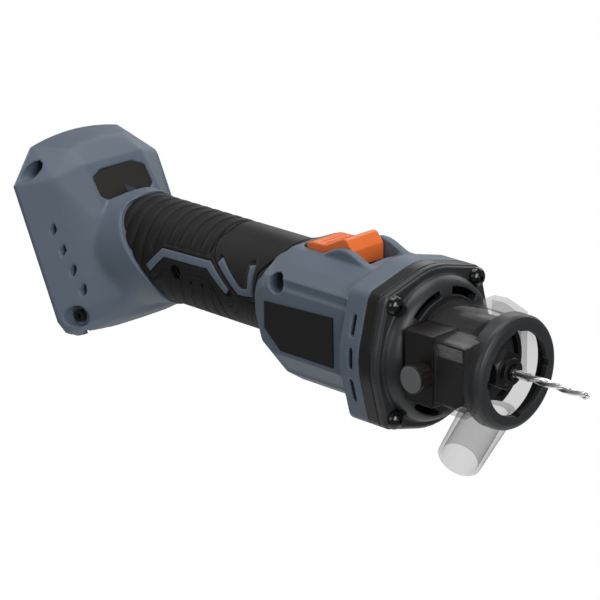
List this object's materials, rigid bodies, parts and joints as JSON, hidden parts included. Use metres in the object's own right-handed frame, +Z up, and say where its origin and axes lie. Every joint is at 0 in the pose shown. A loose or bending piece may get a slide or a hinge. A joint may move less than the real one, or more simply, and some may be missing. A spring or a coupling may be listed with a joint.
{
  "type": "cordless drywall cut out tool",
  "caption": "Cordless spiral saw for cutting openings in wallboard, with a ribbed grip, a clear depth guide with a foot ring, a dust port and a slide switch.",
  "frame": {"origin": "On the bit's axis, in the front face of the foot ring at rest.", "axes": "+X forward along the spindle, +Z up through the switch, +Y to the tool's left."},
  "size_m": [0.282, 0.0756, 0.0917],
  "materials": {
    "casing": "slate blue moulded plastic with a fine grain",
    "rubber": "soft black rubber",
    "band": "smooth black plastic",
    "plate": "dark grey bare plate",
    "label": "bare black film",
    "cover": "charcoal moulded plastic",
    "black_steel": "black coated steel",
    "steel": "bright steel",
    "copper": "enamelled copper wire",
    "board": "green circuit board",
    "lead": "insulated wire",
    "brass": "plated contact metal",
    "magnet": "sintered magnet",
    "button": "orange moulded plastic",
    "clear": "smoked clear plastic"
  },
  "bodies": {
    "casing": {"right_shell": "casing", "left_shell": "casing", "right_grip": "rubber", "left_grip": "rubber", "right_band": "band", "left_band": "band", "collar_ring": "rubber", "badge_plate": "plate", "label_plate": "label", "spacer_plate": "band", "front_cover": "cover", "cover_screws": "black_steel", "shell_screws": "steel", "stator_core": "steel", "stator_windings": "copper", "sensor_board": "board", "rear_bearing": "steel", "front_bearing": "steel", "main_switch": "band", "control_board": "board", "motor_leads": "lead", "battery_leads": "lead", "terminal_block": "band", "contact_blades": "brass", "clamp_block": "band", "depth_rack": "steel"},
    "spindle_group": {"spindle": "steel", "rotor_core": "steel", "rotor_magnets": "magnet", "cooling_fan": "band", "collet": "steel", "cut_out_bit": "steel"},
    "nut": {"collet_nut": "black_steel"},
    "button": {"switch_button": "button", "switch_link": "band"},
    "depth_guide": {"foot_ring": "cover", "shroud": "clear", "guide_sleeve": "band", "dust_port": "clear"},
    "knob": {"clamp_knob": "cover", "clamp_stud": "steel"}
  },
  "joints": [
    {"name": "spindle_spin", "type": "hinge", "parent": "casing", "child": "spindle_group", "pos_m": [0, 0, 0], "axis": [1, 0, 0], "continuous": true},
    {"name": "nut_turn", "type": "hinge", "parent": "spindle_group", "child": "nut", "pos_m": [0, 0, 0], "axis": [1, 0, 0], "continuous": true},
    {"name": "switch_slide", "type": "slide", "parent": "casing", "child": "button", "axis": [1, 0, 0], "range_m": [0, 0.007]},
    {"name": "guide_slide", "type": "slide", "parent": "casing", "child": "depth_guide", "axis": [1, 0, 0], "range_m": [-0.0005, 0.012]},
    {"name": "knob_turn", "type": "hinge", "parent": "casing", "child": "knob", "pos_m": [-0.0239, -0.028, 0.0005], "axis": [0, -1, 0], "continuous": true}
  ]
}
